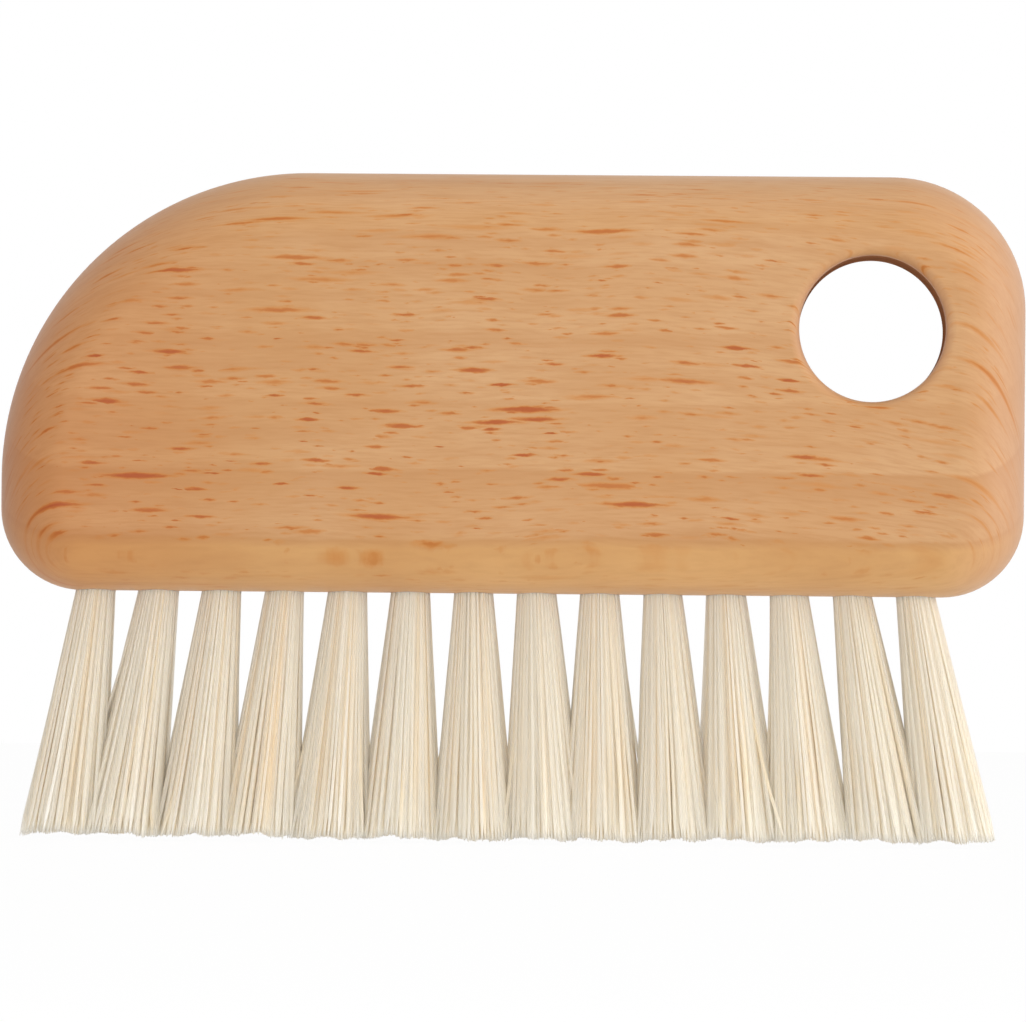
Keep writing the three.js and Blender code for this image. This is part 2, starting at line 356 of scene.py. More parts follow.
    def flecks(self, tree: Tree, place: Socket, grain: Socket, sap: Socket, end: Socket) -> Socket:
        """Scatter rays of every size through the wood.

        Args:
            tree: Node tree to add to.
            place: Place in the handle in millimetres.
            grain: Place along the grain, along the rays and across both.
            sap: Share of sapwood.
            end: How far a face looks along the handle, from 0 to 1.

        Returns:
            The ray's strength at that place, 0 outside all rays.
        """
        torn = add_node(tree, "VectorMath", {0: grain, 1: self.ragged_size}, operation="DIVIDE")[0]
        torn = add_node(tree, "TexNoise", {"Vector": torn, "Scale": 1.0})["Color"]
        torn = add_node(tree, "VectorMath", {0: torn, 1: NOISE_MIDDLE}, operation="SUBTRACT")[0]
        torn = add_node(tree, "VectorMath", {0: torn, 1: self.ragged, 2: grain}, operation="MULTIPLY_ADD")[0]
        bold, *others = [rays.flecks(tree, torn) for rays in self.rays]
        for fleck in others:
            bold = add_node(tree, "Math", {0: bold, 1: fleck}, operation="MAXIMUM")[0]

        x, _, z = add_node(tree, "SeparateXYZ", {0: place})
        fades = ((sap, self.sap_flecks), (end, self.end_flecks), (x, self.hole_flecks), (z, self.top_flecks))
        for towards, (start, full, strength) in fades:
            fade = add_node(tree, "MapRange", {0: towards, 1: start, 2: full, 3: 1.0, 4: strength})[0]
            bold = add_node(tree, "Math", {0: bold, 1: fade}, operation="MULTIPLY")[0]
        return bold

    def material(self) -> bpy.types.Material:
        """Make the wood's material.

        Returns:
            A material that is solid through the wood, so that every face of the handle is cut from one block.
        """
        material, tree, shader = start_material(self.name)
        looks = add_node(tree, "TexCoord")
        place = add_node(tree, "VectorMath", {0: looks["Object"], "Scale": 1 / MM}, operation="SCALE")[0]
        grain = self.grain(tree, place)
        late, sap = self.rings(tree, grain)
        facing = add_node(tree, "SeparateXYZ", {0: looks["Normal"]})[0]
        end = add_node(tree, "Math", {0: facing}, operation="ABSOLUTE")[0]
        end_share = add_node(tree, "MapRange", {0: end, 4: self.end_show})[0]

        _, patch = self.patches.lay(tree, place)
        fibre, dark_fibre = self.fibres.lay(tree, grain)
        _, dark_band = self.bands.lay(tree, grain)
        even = add_node(tree, "MapRange", {0: sap, 3: 1.0, 4: self.sap_streaks})[0]
        dark_fibre = add_node(tree, "Math", {0: dark_fibre, 1: even}, operation="MULTIPLY")[0]
        dark_band = add_node(tree, "Math", {0: dark_band, 1: even}, operation="MULTIPLY")[0]

        bold = self.flecks(tree, place, grain, sap, end)
        full, most = self.halo
        halo = add_node(tree, "MapRange", {0: bold, 2: full, 4: most})[0]
        start, full = self.core
        core = add_node(tree, "MapRange", {0: bold, 1: start, 2: full})[0]

        colour = linear(self.early_wood)
        for share, tint in (
            (late, self.late_wood),
            # sapwood, whose paleness is partly painted light from below
            (sap, self.sapwood_and_uplight),
            (patch, self.warm_patch),
            (dark_fibre, self.late_wood),
            (dark_band, self.late_wood),
            (end_share, self.end_wood),
            (halo, self.fleck_halo),
            (core, self.fleck_core),
        ):
            colour = add_node(tree, "Mix", {0: share, 6: colour, 7: linear(tint)}, data_type="RGBA")[2]
        # painted shade: the nose is darkened and reddened, away from the light on the right
        x = add_node(tree, "SeparateXYZ", {0: place})[0]
        start, full = self.nose
        nose = add_node(tree, "MapRange", {0: x, 1: start, 2: full})[0]
        tones = {0: nose, 6: colour, 7: linear(self.nose_shade_tint)}
        colour = add_node(tree, "Mix", tones, data_type="RGBA", blend_type="MULTIPLY")[2]
        tree.links.new(colour, shader.inputs["Base Color"])

        smooth, rough = self.roughness
        gloss = add_node(tree, "MapRange", {0: fibre, 3: smooth, 4: rough})[0]
        tree.links.new(gloss, shader.inputs["Roughness"])
        shader.inputs["IOR"].default_value = self.ior
        shader.inputs["Sheen Weight"].default_value = self.fuzz
        relief = add_node(tree, "Bump", {"Height": fibre, "Distance": self.bump * MM})[0]
        tree.links.new(relief, shader.inputs["Normal"])
        return material


@dataclass(frozen=True)
class DrilledBeech:
    """Beech as the drill leaves it: torn fibres that the oil has sunk into, without any shine, and darkened partly
    as painted shade of the hole.
    """

    name: str = "beech_drilled"
    # darker than the faces, partly painted shade of the hole's wall and the bores
    raw_wood_shaded: str = "#bf8a64"
    torn_wood_shaded: str = "#b07a56"
    tear_spacing: Triple = (2.8, 0.5, 0.5)  # along the grain and across it
    roughness: float = 0.8

    def material(self) -> bpy.types.Material:
        """Make the material of the hole's wall and the bores.

        Returns:
            A dull wood with short torn fibres along the grain, darker in part as painted shade.
        """
        material, tree, shader = start_material(self.name)
        place = add_node(tree, "TexCoord")["Object"]
        spacing = tuple(size * MM for size in self.tear_spacing)
        tears = add_node(tree, "VectorMath", {0: place, 1: spacing}, operation="DIVIDE")[0]
        tears = add_node(tree, "TexNoise", {"Vector": tears, "Scale": 1.0})[0]
        tones = {0: tears, 6: linear(self.raw_wood_shaded), 7: linear(self.torn_wood_shaded)}
        colour = add_node(tree, "Mix", tones, data_type="RGBA")[2]
        tree.links.new(colour, shader.inputs["Base Color"])
        shader.inputs["Roughness"].default_value = self.roughness
        shader.inputs["Specular IOR Level"].default_value = 0.0
        return material


@dataclass(frozen=True)
class NaturalBristle:
    """Bleached hog bristle, sorted by length and drawn into bundles.

    Each bristle is a tapering, slightly clear horn fibre with a soft shine, and no two of them have quite the same
    tone. The inner bristles of a bundle are painted amber, as painted shade for light that has passed through
    several bristles between the locks, and the tips are painted whiter, as painted light through their thin ends.
    """

    name: str = "hog_bristle_bleached"
    pale: str = "#fffdf8"
    # painted amber shade of the inner bristles, for light that has passed through several of them
    amber: str = "#fff5e0"
    # painted light: white for the thin tips that light shines through
    painted_tip_light: str = "#fffefb"
    tone: str = "bristle_tone"  # mesh attribute, 0 to 1 from bristle to bristle, higher on the inner bristles as painted shade
    along: str = "bristle_along"  # mesh attribute, 0 at the bore and 1 at the tips
    warm: Pair = (0.2, 0.9)  # tone at which the painted amber shade starts and is full
    tip_from: float = 0.75  # share of the length from which the tips are painted whiter, as painted light
    tip_show: float = 0.6
    roughness: Pair = (0.42, 0.62)  # from streak to streak
    ior: float = 1.55
    clearness: float = 0.7  # share of the light that passes through a bristle
    streak_spacing: float = 1.6

    def material(self) -> bpy.types.Material:
        """Make the bristles' material.

        Returns:
            A material that reads each bristle's own tone from the mesh.
        """
        material, tree, shader = start_material(self.name)
        tone = add_node(tree, "Attribute", attribute_name=self.tone)["Fac"]
        start, full = self.warm
        amber = add_node(tree, "MapRange", {0: tone, 1: start, 2: full})[0]
        along = add_node(tree, "Attribute", attribute_name=self.along)["Fac"]
        # painted light: the tips are whitened towards their ends
        tip = add_node(tree, "MapRange", {0: along, 1: self.tip_from, 4: self.tip_show})[0]
        colour = linear(self.pale)
        for share, tint in ((amber, self.amber), (tip, self.painted_tip_light)):
            colour = add_node(tree, "Mix", {0: share, 6: colour, 7: linear(tint)}, data_type="RGBA")[2]

        place = add_node(tree, "TexCoord")["Object"]
        streak = add_node(tree, "TexNoise", {"Vector": place, "Scale": 1 / (self.streak_spacing * MM)})[0]
        smooth, rough = self.roughness
        gloss = add_node(tree, "MapRange", {0: streak, 3: smooth, 4: rough})[0]
        tree.links.new(colour, shader.inputs["Base Color"])
        tree.links.new(gloss, shader.inputs["Roughness"])
        shader.inputs["IOR"].default_value = self.ior

        through = add_node(tree, "BsdfTranslucent", {"Color": colour})[0]
        both = add_node(tree, "MixShader", {0: self.clearness, 1: shader.outputs[0], 2: through})[0]
        tree.links.new(both, tree.nodes["Material Output"].inputs["Surface"])
        return material


@dataclass(frozen=True)
class DrawnSteelWire:
    """Soft steel wire, drawn flat and sheared to length, with fine lines along its drawing."""

    name: str = "steel_flat_drawn"
    bright: str = "#c3c6c9"
    dull: str = "#9a9da1"
    line_spacing: float = 0.08
    line_length: float = 3.0
    roughness: Pair = (0.26, 0.44)  # from line to line

    def material(self) -> bpy.types.Material:
        """Make the wire's material.

        Returns:
            A metal with drawing lines along the anchors' length.
        """
        material, tree, shader = start_material(self.name)
        place = add_node(tree, "TexCoord")["Object"]
        spacing = (self.line_spacing * MM, self.line_length * MM, self.line_spacing * MM)
        lines = add_node(tree, "VectorMath", {0: place, 1: spacing}, operation="DIVIDE")[0]
        lines = add_node(tree, "TexNoise", {"Vector": lines, "Scale": 1.0})[0]
        tones = {0: lines, 6: linear(self.bright), 7: linear(self.dull)}
        colour = add_node(tree, "Mix", tones, data_type="RGBA")[2]
        smooth, rough = self.roughness
        gloss = add_node(tree, "MapRange", {0: lines, 3: smooth, 4: rough})[0]
        tree.links.new(colour, shader.inputs["Base Color"])
        tree.links.new(gloss, shader.inputs["Roughness"])
        shader.inputs["Metallic"].default_value = 1.0
        return material


@dataclass(frozen=True)
class TuftSeat:
    """One blind bore: where it opens in the handle's lower edge and how it leans."""

    label: str
    mouth_x: float
    mouth_z: float
    lean: float  # radians, positive towards the hanging hole on the way down

    def placed(self, points: np.ndarray) -> np.ndarray:
        """Move points from the bore to the model.

        Args:
            points: Millimetres, from the middle of the mouth, with z up along the bore.

        Returns:
            Metres, in the model's frame.
        """
        across, depth, up = points[..., 0], points[..., 1], points[..., 2]
        x = self.mouth_x + across * math.cos(self.lean) - up * math.sin(self.lean)
        z = self.mouth_z + across * math.sin(self.lean) + up * math.cos(self.lean)
        return np.stack([x, depth, z], axis=-1) * MM


@dataclass
class TuftRow:
    """The fanned row of bores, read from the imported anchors."""

    fan_lean: float = 9.0  # degrees by which the outermost bores lean outwards

    def seats(self) -> list[TuftSeat]:
        """Find every bore.

        Returns:
            The bores from the nose to the hanging hole.
        """
        labels = sorted(name.removeprefix("anchor_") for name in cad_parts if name.startswith("anchor_"))
        mouth_z = node_box("handle")[0].z
        seats = []
        for number, label in enumerate(labels):
            low, high = node_box(f"anchor_{label}")
            middle = (low + high) / 2
            lean = math.radians(self.fan_lean) * (2 * number / (len(labels) - 1) - 1)
            mouth_x = middle.x + math.tan(lean) * (middle.z - mouth_z)
            seats.append(TuftSeat(label, mouth_x, mouth_z, lean))
        return seats


@dataclass
class Handle:
    """The one-piece handle with its swept nose, rounded rim, hanging hole and blind bores."""

    nose_radius: float = 30.0
    shoulder_radius: float = 13.0
    heel_radius: float = 8.0
    edge_width: float = 6.5  # elliptical rounding of the rim, inwards from the outline
    edge_depth: float = 7.5  # the same rounding, inwards from each broad face
    hole_diameter: float = 14.2
    hole_from_end: float = 15.0
    hole_from_top: float = 15.0
    hole_rim: float = 1.0
    bore_diameter: float = 4.0
    bore_depth: float = 9.0
    drill_angle: float = 118.0  # degrees, at the drill's point
    point_spacing: float = 1.0
    corner_steps: int = 16  # least number of chords in a corner
    edge_steps: int = 18
    hole_steps: int = 112
    rim_steps: int = 8
    bore_steps: int = 40
    face_margin: float = 0.08  # narrow flat band beside each rounding, so that the faces shade flat
    crease: float = 32.0  # degrees
    finish: SandedBeech = SandedBeech()
    drilled: DrilledBeech = DrilledBeech()

    def __post_init__(self) -> None:
        """Take the handle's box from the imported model."""
        self.low, self.high = node_box("handle")

    def corner(self, middle: Pair, radius: float, start: float) -> list[tuple[Vector, Vector]]:
        """Round one corner of the outline.

        Args:
            middle: x and z of the corner's middle.
            radius: Radius of the corner.
            start: Angle in degrees at which the quarter round starts.

        Returns:
            Points of the corner with their outward directions, anticlockwise as seen from the front.
        """
        steps = max(self.corner_steps, round(radius * math.pi / 2 / self.point_spacing))
        points = []
        for step in range(steps + 1):
            angle = math.radians(start + 90 * step / steps)
            outward = Vector((math.cos(angle), math.sin(angle)))
            points.append((Vector(middle) + outward * radius, outward))
        return points

    def outline(self) -> list[tuple[Vector, Vector]]:
        """Draw the handle's outline.

        Returns:
            Points with their outward directions in x and z, anticlockwise as seen from the front.
        """
        left, right, bottom, top = self.low.x, self.high.x, self.low.z, self.high.z
        heel, shoulder, nose = self.heel_radius, self.shoulder_radius, self.nose_radius
        corners = [
            self.corner((right - heel, bottom + heel), heel, -90),
            self.corner((right - shoulder, top - shoulder), shoulder, 0),
            self.corner((left + nose, top - nose), nose, 90),
            self.corner((left + heel, bottom + heel), heel, 180),
        ]
        points = []
        for number, corner in enumerate(corners):
            start, outward = corner[-1]
            end = corners[(number + 1) % len(corners)][0][0]
            steps = max(1, round((end - start).length / self.point_spacing))
            points += corner
            points += [(start.lerp(end, step / steps), outward) for step in range(1, steps)]
        return points

    def rim_profile(self, width: float, depth: float, steps: int) -> list[Pair]:
        """Round an edge by a quarter ellipse.

        Args:
            width: Width of the rounding on the face.
            depth: Depth of the rounding into the wood.
            steps: Number of chords.

        Returns:
            Pairs of distance from the edge and depth below the face, from the face to the edge.
        """
        pairs = [(width + self.face_margin, 0.0)]
        for step in range(steps + 1):
            angle = math.pi / 2 * step / steps
            pairs.append((width * (1 - math.sin(angle)), depth * (1 - math.cos(angle))))
        return pairs

    def block(self) -> bpy.types.Mesh:
        """Shape the handle before its bores are drilled.

        Returns:
            A closed mesh with the rounded rim and the hanging hole.
        """
        outline = self.outline()
        hole = Vector((self.high.x - self.hole_from_end, self.high.z - self.hole_from_top))
        radius = self.hole_diameter / 2
        edge = self.rim_profile(self.edge_width, self.edge_depth, self.edge_steps)
        rim = self.rim_profile(self.hole_rim, self.hole_rim, self.rim_steps)

        def through(pairs: list[Pair]) -> list[Pair]:
            """Carry a profile from the front face to the back face."""
            front = [(inset, self.low.y + depth) for inset, depth in pairs]
            back = [(inset, self.high.y - depth) for inset, depth in pairs]
            return front + back[::-1]

        body = bmesh.new()
        outer, inner = [], []
        for inset, y in through(edge):
            ring = [point - outward * inset for point, outward in outline]
            outer.append([body.verts.new(Vector((at.x, y, at.y)) * MM) for at in ring])
        for inset, y in through(rim):
            ring = []
            for step in range(self.hole_steps):
                angle = 2 * math.pi * step / self.hole_steps
                at = hole + Vector((math.cos(angle), math.sin(angle))) * (radius + inset)
                ring.append(body.verts.new(Vector((at.x, y, at.y)) * MM))
            inner.append(ring)
        for rings in (outer, inner):
            for near, far in zip(rings, rings[1:]):
                made = Cut.DRILLED if near is inner[len(rim) - 1] else Cut.SANDED
                for at in range(len(near)):
                    face = body.faces.new((near[at - 1], near[at], far[at], far[at - 1]))
                    face.material_index = made.value
        for side, end in ((Side.FRONT, 0), (Side.BACK, -1)):
            loops = (outer[end], inner[end])
            edges = [body.edges.get((loop[at - 1], loop[at])) for loop in loops for at in range(len(loop))]
            bmesh.ops.triangle_fill(body, edges=edges, use_beauty=True, normal=(0, side.value, 0))
        bmesh.ops.recalc_face_normals(body, faces=body.faces)
        mesh = bpy.data.meshes.new("handle_block")
        body.to_mesh(mesh)
        body.free()
        return mesh

    def drills(self, seats: list[TuftSeat]) -> bpy.types.Mesh:
        """Shape the drill's cuts.

        Args:
            seats: Bores to cut.

        Returns:
            One mesh with a pointed, round body for each bore.
        """
        radius = self.bore_diameter / 2
        point = radius / math.tan(math.radians(self.drill_angle / 2))
        angles = [2 * math.pi * step / self.bore_steps for step in range(self.bore_steps)]
        cuts = bmesh.new()
        for seat in seats:
            rings = []
            for up in (-self.bore_diameter, self.bore_depth):
                points = np.array([(radius * math.cos(angle), radius * math.sin(angle), up) for angle in angles])
                rings.append([cuts.verts.new(at) for at in seat.placed(points)])
            tip = cuts.verts.new(seat.placed(np.array([0.0, 0.0, self.bore_depth + point])))
            cuts.faces.new(rings[0])
            for at in range(self.bore_steps):
                cuts.faces.new((rings[0][at - 1], rings[0][at], rings[1][at], rings[1][at - 1]))
                cuts.faces.new((rings[1][at - 1], rings[1][at], tip))
        for face in cuts.faces:
            face.material_index = Cut.DRILLED.value
        bmesh.ops.recalc_face_normals(cuts, faces=cuts.faces)
        mesh = bpy.data.meshes.new("drills")
        cuts.to_mesh(mesh)
        cuts.free()
        return mesh

    def cut(self, handle: bpy.types.Object, tool: bpy.types.Mesh) -> None:
        """Cut a tool's shape out of the handle.

        Args:
            handle: Handle to cut.
            tool: Closed mesh to take away, which is deleted.
        """
        cutter = bpy.data.objects.new("cutter", tool)
        bpy.context.scene.collection.objects.link(cutter)
        modifier = handle.modifiers.new("cut", "BOOLEAN")
        modifier.operation = "DIFFERENCE"
        modifier.solver = "EXACT"
        modifier.object = cutter
        bpy.context.view_layer.update()
        ready = handle.evaluated_get(bpy.context.evaluated_depsgraph_get())
        old, handle.data = handle.data, bpy.data.meshes.new_from_object(ready)
        handle.modifiers.clear()
        bpy.data.objects.remove(cutter)
        bpy.data.meshes.remove(old)
        bpy.data.meshes.remove(tool)

    def build(self, seats: list[TuftSeat]) -> None:
        """Build and dress the handle.

        Args:
            seats: Bores to drill into its lower edge.
        """
        handle = add_piece("beech_handle", self.block(), self.finish.material(), self.drilled.material())
        self.cut(handle, self.drills(seats))
        handle.data.shade_smooth()
        handle.data.set_sharp_from_angle(angle=math.radians(self.crease))
        seat_piece(handle, Slot.BEECH, "handle")


@dataclass
class BristleTufts:
    """The tufts, each a bundle of bristles folded over its anchor."""

    bristles: int = 260  # in one tuft; each is folded in half and shows two ends
    bristle_radius: float = 0.09  # in the bore
    loose_radius: float = 0.18  # near the tips, where the split ends take up more room
    tip_radius: float = 0.05
    taper: float = 0.08  # share of the free length over which the ends run out
    bundle_radius: float = 1.85
    free_length: float = 24.5
    flare: Pair = (2.15, 1.7)  # widening from the bore to the tips, along the row and across it
    # Degrees by which the free bristles lean, from the nose to the hanging hole.
    leans: tuple[float, ...] = (-7.5, -8.3, -6.0, -5.6, -3.8, -2.0, 0.6, 2.4, 1.2, 3.3, 4.0, 5.3, 9.0, 9.6)
    root_scatter: float = 0.03  # of the bristles in the bore
    locks: int = 20  # that the bristles of one side of the fold cling together in
    lock_pull: float = 0.05  # share of the way to its lock's middle that a bristle is drawn
    lock_curve: float = 1.5  # above 1, a bristle is drawn to its lock near the tips
    scatter: float = 0.07  # of the tips
    bend: float = 0.13  # of the bristles, at their tips
    wave: float = 0.04
    wave_turns: Pair = (0.7, 1.6)  # waves in a bristle's length
    stray_share: float = 0.03  # of the bristles that stand out
    stray_bend: float = 1.1
    trim: float = 0.05  # least height of the tips over the floor
    uneven: float = 0.1  # by which a tuft's tips may be higher
    trim_arch: float = 0.15  # by which the outermost tufts are shorter
    snips: tuple[float, ...] = (13.7, 6.1, 2.9)  # widths of the shears' cuts, which leave the trimmed row uneven
    snip_height: float = 0.6
    lock_length: float = 0.2  # spread of the locks' lengths
    ragged: float = 0.2  # by which the outer bristles of a lock are shorter
    length_scatter: float = 0.14  # from bristle to bristle
    inner_amber_shade: float = 0.75  # share of a bristle's tone that its depth in the tuft gives, as painted amber shade, not its lock
    tone_scatter: float = 0.12  # of the bristles of one lock
    anchor_gap: float = 0.34  # from the middle of the anchor to the innermost bristles
    anchor_top: float = 7.4  # height in the bore
    rise: tuple[float, ...] = (0.35, 0.7, 0.95)  # heights of the rings beside the anchor, as shares of its top
    pinched: float = 0.7  # the same where the bundle has parted for the anchor
    fold_gap: float = 0.15  # between the anchor and the innermost fold
    fold_height: float = 0.75  # of the fold over the anchor, for each millimetre of its half width
    fold_angles: tuple[float, ...] = (45.0, 90.0, 135.0)  # of the rings in the fold
    sides: int = 6
    free_rings: int = 9
    finish: NaturalBristle = NaturalBristle()

    def roots(self, draw: np.random.Generator) -> np.ndarray:
        """Pack the bristles of one side of the fold into half of the bore's section.

        Args:
            draw: Source of random numbers.

        Returns:
            Places across the row, always positive, and along the handle's depth.
        """
        number = np.arange(2 * self.bristles) + 0.5
        reach = self.bundle_radius * np.sqrt(number / (2 * self.bristles))
        angle = number * math.pi * GOLDEN_TURN
        disc = np.stack([reach * np.cos(angle), reach * np.sin(angle)], axis=-1)
        half = disc[np.argsort(-disc[:, 0])[: self.bristles]]
        half += draw.normal(0, self.root_scatter, half.shape)
        half[:, 0] = np.abs(half[:, 0])
        return half

    def free_shares(self) -> np.ndarray:
        """Give the rings of a free end as shares of its length, from the tip to the mouth."""
        return np.concatenate([[1.0, 1 - self.taper / 2], np.linspace(1 - self.taper, 0, self.free_rings)])

    def free_ends(
        self, seat: TuftSeat, roots: np.ndarray, lean: float, arch: float, draw: np.random.Generator
    ) -> tuple[np.ndarray, np.ndarray]:
        """Run one end of each bristle from its tip to the bore.

        Args:
            seat: Bore of the tuft.
            roots: Places of the bristles in the bore's mouth.
            lean: Extra lean of this tuft, in radians.
            arch: By how much the tips of this tuft are shorter.
            draw: Source of random numbers.

        Returns:
            Points of each bristle in the bore's frame, from the tip to the mouth, and each bristle's tone.
        """
        count = len(roots)
        middles = roots[draw.choice(count, self.locks, replace=False)]
        gaps = np.linalg.norm(roots[:, None] - middles[None], axis=-1)
        lock = np.argmin(gaps, axis=1)
        from_middle = gaps[np.arange(count), lock]
        to_middle = middles[lock] - roots

        scatter = draw.normal(0, self.scatter, (count, 2))
        bend = draw.normal(0, self.bend, (count, 2))
        stray = draw.random(count) < self.stray_share
        bend[stray] *= self.stray_bend / self.bend
        phase = draw.uniform(0, 2 * math.pi, (count, 2))
        turns = draw.uniform(*self.wave_turns, (count, 1))

        flare = np.array(self.flare)
        pull = to_middle * self.lock_pull * flare
        tips = roots * flare + pull + scatter + bend
        tips[:, 0] += math.tan(lean) * self.free_length

        shears = [0.5 + 0.5 * np.sin(2 * math.pi * (seat.mouth_x + tips[:, 0]) / width) for width in self.snips]
        short = self.snip_height * np.mean(shears, axis=0) + draw.uniform(0, self.lock_length, self.locks)[lock]
        short += self.ragged * (from_middle / from_middle.max()) ** 2
        short += np.abs(draw.normal(0, self.length_scatter, count))
        tip_height = self.trim + arch + short
        reach = (seat.mouth_z + math.sin(seat.lean) * tips[:, 0] - tip_height) / math.cos(seat.lean)

        rings = []
        for share in self.free_shares():
            at = roots * (1 + (flare - 1) * share) + pull * share**self.lock_curve
            at = at + scatter * share + bend * share**2
            at = at + self.wave * share * np.sin(2 * math.pi * turns * share + phase)
            at[:, 0] += math.tan(lean) * self.free_length * share
            rings.append(np.column_stack([at, -reach * share]))
        # painted shade: the deeper a bristle lies in the tuft, the more amber it is painted
        inner = 1 - (np.linalg.norm(roots, axis=-1) / self.bundle_radius) ** 2
        tone = self.inner_amber_shade * inner + (1 - self.inner_amber_shade) * draw.random(self.locks)[lock]
        tone += draw.normal(0, self.tone_scatter, count)
        return np.stack(rings, axis=1), np.clip(tone, 0, 1)

    def folds(self, roots: np.ndarray) -> np.ndarray:
        """Run the bristles up the bore, over the anchor and down again.

        Args:
            roots: Places of the bristles in the bore's mouth, on the side of the hanging hole.

        Returns:
            Points of each bristle in the bore's frame, from one side of the mouth to the other.
        """
        squeeze = (self.bundle_radius - self.anchor_gap) / self.bundle_radius
        beside = self.anchor_gap + roots[:, 0] * squeeze
        depth = roots[:, 1]
        height = self.anchor_top + self.fold_gap + self.fold_height * beside
        rise = []
        for share in self.rise:
            across = roots[:, 0] + (beside - roots[:, 0]) * min(1.0, share / self.pinched)
            rise.append(np.column_stack([across, depth, np.full_like(depth, share * self.anchor_top)]))
        top = []
        for angle in self.fold_angles:
            turn = math.radians(angle)
            lift = self.anchor_top + (height - self.anchor_top) * math.sin(turn)
            top.append(np.column_stack([beside * math.cos(turn), depth, lift]))
        fall = [points * (-1, 1, 1) for points in rise[::-1]]
        return np.stack(rise + top + fall, axis=1)

    def tubes(self, paths: np.ndarray, radii: np.ndarray) -> tuple[np.ndarray, np.ndarray]:
        """Wrap a round skin about each path.

        Args:
            paths: Points by bristle and ring.
            radii: Radius of each ring.

        Returns:
            Vertices, and faces as rows of four vertex numbers.
        """
        count, rings = paths.shape[:2]
        run = np.gradient(paths, axis=1)
        run /= np.linalg.norm(run, axis=-1, keepdims=True)
        first = np.array([0.0, 1.0, 0.0]) - run * run[..., 1:2]
        first /= np.linalg.norm(first, axis=-1, keepdims=True)
        second = np.cross(run, first)
        angle = 2 * math.pi * np.arange(self.sides) / self.sides
        ring = first[:, :, None] * np.cos(angle)[:, None] + second[:, :, None] * np.sin(angle)[:, None]
        vertices = paths[:, :, None] + ring * radii[None, :, None, None]

        start = (np.arange(count) * rings)[:, None, None] + np.arange(rings - 1)[None, :, None]
        side = np.arange(self.sides)[None, None, :]
        after = (side + 1) % self.sides
        near, far = start * self.sides, (start + 1) * self.sides
        quads = np.stack([near + side, near + after, far + after, far + side], axis=-1)
        return vertices.reshape(-1, 3), quads.reshape(-1, 4)

    def tuft_mesh(self, seat: TuftSeat, lean: float, arch: float, draw: np.random.Generator) -> bpy.types.Mesh:
        """Make one tuft.

        Args:
            seat: Bore of the tuft.
            lean: Lean of the free bristles beyond that of the bore, in radians.
            arch: By how much the tips of this tuft are shorter.
            draw: Source of random numbers.

        Returns:
            The tuft's mesh, with the attributes that its finish reads.
        """
        near = self.roots(draw)
        far = near * (-1, 1)
        first, first_tone = self.free_ends(seat, near, lean, arch, draw)
        second, second_tone = self.free_ends(seat, far, lean, arch, draw)
        fold = self.folds(near)
        paths = np.concatenate([first, fold, second[:, ::-1]], axis=1)
        free = self.free_shares()
        along = np.concatenate([free, np.zeros(fold.shape[1]), free[::-1]])
        radii = np.interp(along, [0, 1 - self.taper, 1], [self.bristle_radius, self.loose_radius, self.tip_radius])

        vertices, quads = self.tubes(paths, radii)
        vertices = seat.placed(vertices)
        side = np.arange(self.sides)
        starts = np.arange(len(paths))[:, None] * paths.shape[1] * self.sides
        ends = starts + (paths.shape[1] - 1) * self.sides
        caps = np.concatenate([starts + side[::-1], ends + side])
        mesh = bpy.data.meshes.new(f"tuft_{seat.label}")
        mesh.from_pydata(vertices.tolist(), [], quads.tolist() + caps.tolist())
        tone = np.where(np.arange(len(along)) < len(along) // 2, first_tone[:, None], second_tone[:, None])
        tone = np.repeat(tone.ravel(), self.sides)
        mesh.attributes.new(self.finish.tone, "FLOAT", "POINT").data.foreach_set("value", tone)
        along = np.tile(np.repeat(along, self.sides), len(paths))
        mesh.attributes.new(self.finish.along, "FLOAT", "POINT").data.foreach_set("value", along)
        mesh.shade_smooth()
        return mesh

    def build(self, seats: list[TuftSeat]) -> None:
        """Build and dress every tuft.

        Args:
            seats: Bores of the tufts.
        """
        draw = np.random.default_rng(SEED)
        material = self.finish.material()
        for number, seat in enumerate(seats):
            lean = math.radians(self.leans[number]) - seat.lean
            arch = self.trim_arch * (2 * number / (len(seats) - 1) - 1) ** 2 + draw.uniform(0, self.uneven)
            piece = add_piece(f"bristle_tuft_{seat.label}", self.tuft_mesh(seat, lean, arch, draw), material)
            seat_piece(piece, Slot.BRISTLE, f"tuft_{seat.label}")


@dataclass
class Anchors:
    """The flat-wire anchors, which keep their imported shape."""

    finish: DrawnSteelWire = DrawnSteelWire()

    def dress(self, seats: list[TuftSeat]) -> None:
        """Dress every anchor.

        Args:
            seats: Bores that hold the anchors.
        """
        material = self.finish.material()
        for seat in seats:
            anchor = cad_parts[f"anchor_{seat.label}"]
            anchor.data.materials.clear()
            anchor.data.materials.append(material)
            LOG.info("%s: dressed", anchor.name)


@dataclass(frozen=True)
class Lamp:
    """One soft lamp that faces the brush."""

    power: float  # watts
    place: Triple
    size: Pair  # width and height

    def hang(self, name: str, aim: Vector) -> None:
        """Hang the lamp.

        Args:
            name: Name of the lamp.
            aim: Point that it faces.
        """
        light = bpy.data.lights.new(name, "AREA")
        light.shape = "RECTANGLE"
        light.energy = self.power
        light.size, light.size_y = self.size[0] * MM, self.size[1] * MM
        lamp = bpy.data.objects.new(name, light)
        lamp.location = Vector(self.place) * MM
        lamp.rotation_euler = (aim - Vector(self.place)).to_track_quat("-Z", "Y").to_euler()
        lamp.visible_camera = False
        bpy.context.scene.collection.objects.link(lamp)


